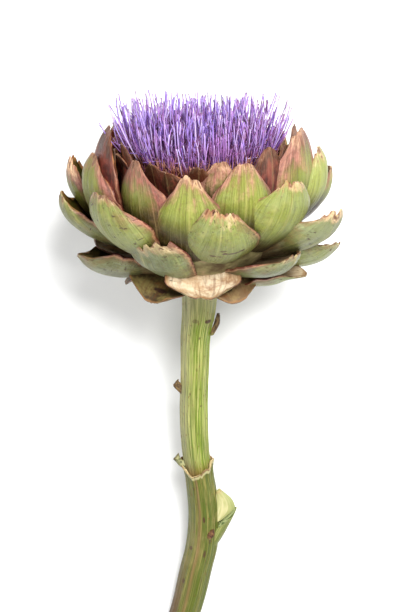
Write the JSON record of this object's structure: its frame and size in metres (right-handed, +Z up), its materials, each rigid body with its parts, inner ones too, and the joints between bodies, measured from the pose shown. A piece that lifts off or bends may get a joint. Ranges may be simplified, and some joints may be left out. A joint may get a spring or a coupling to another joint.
{
  "type": "artichoke flower",
  "caption": "Artichoke in flower, cut with a length of stalk and laid down: a broad cup of fleshy pointed bracts round a dense violet tuft.",
  "frame": {"origin": "on the surface it lies on, below the middle of its bounding box", "axes": "+Z up from the surface, +Y from the cut end of the stalk towards the flower, +X across the head"},
  "size_m": [0.1386, 0.2824, 0.1264],
  "materials": {
    "bracts": "satin, fleshy leaf",
    "florets": "fine violet threads",
    "stalk": "satin, ribbed"
  },
  "bodies": {
    "root": {"receptacle_and_bracts": "bracts", "florets": "florets", "stalk": "stalk"}
  },
  "joints": []
}
